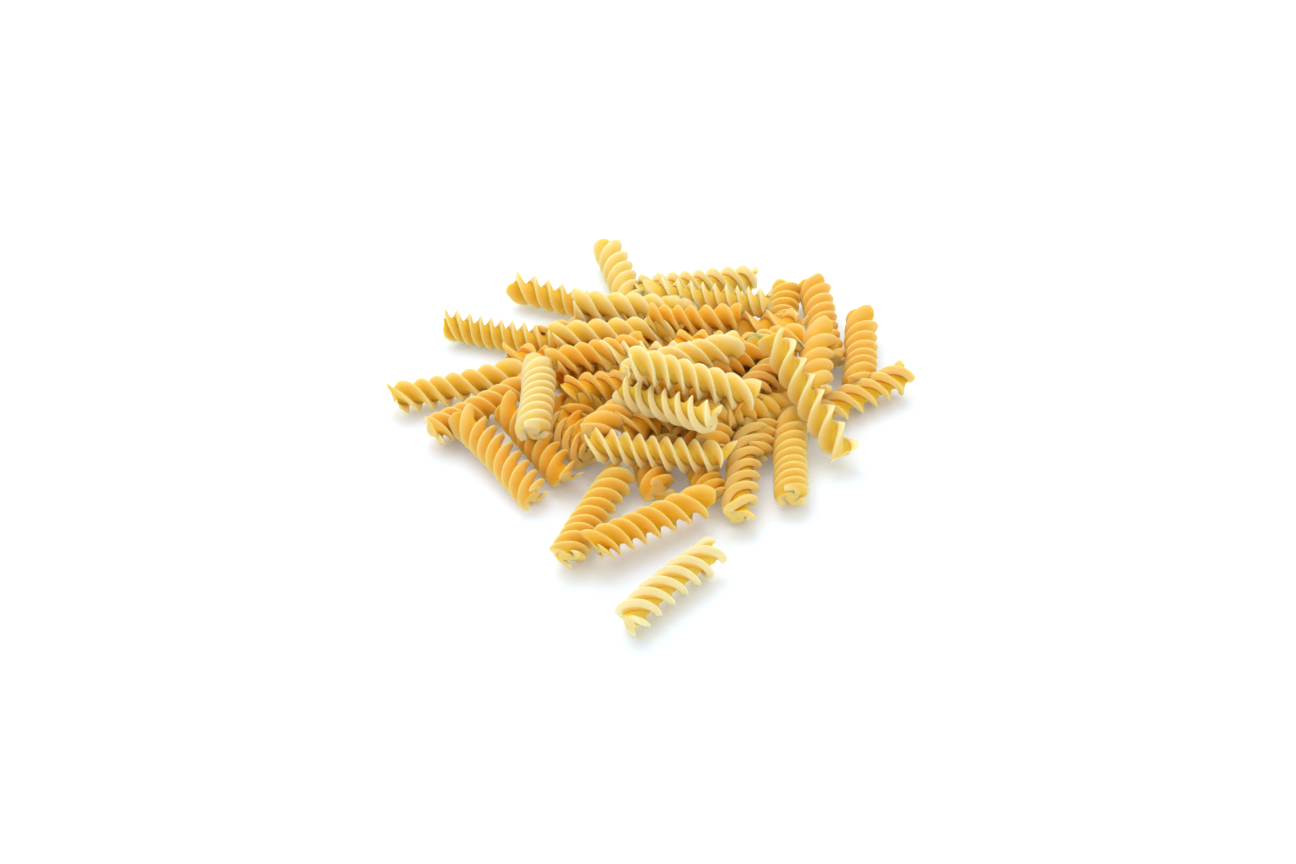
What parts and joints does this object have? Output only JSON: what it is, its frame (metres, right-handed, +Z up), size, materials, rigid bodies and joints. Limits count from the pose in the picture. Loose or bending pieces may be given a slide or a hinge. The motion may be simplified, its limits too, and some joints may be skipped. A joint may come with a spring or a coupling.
{
  "type": "heap of spiral pasta",
  "caption": "Loose heap of dry golden spiral pasta lying on a table, with a stray spiral in front of it.",
  "frame": {"origin": "on the table, in the middle of the flat bottom of the hidden mound under the heap", "axes": "+X to the viewer's right, +Y away from the viewer along the heap's longest reach, +Z up from the table"},
  "size_m": [0.1453, 0.1798, 0.035],
  "materials": {
    "golden_pasta": "dry and slightly translucent, faintly satin, paler along the thin edges of the fins",
    "pale_pasta": "dry and slightly translucent, faintly satin, creamy along the thin edges of the fins",
    "amber_pasta": "dry and slightly translucent, faintly satin, deeper orange in the grooves"
  },
  "bodies": {
    "root": {"heap": "golden_pasta", "front_spiral": "pale_pasta"}
  },
  "joints": []
}
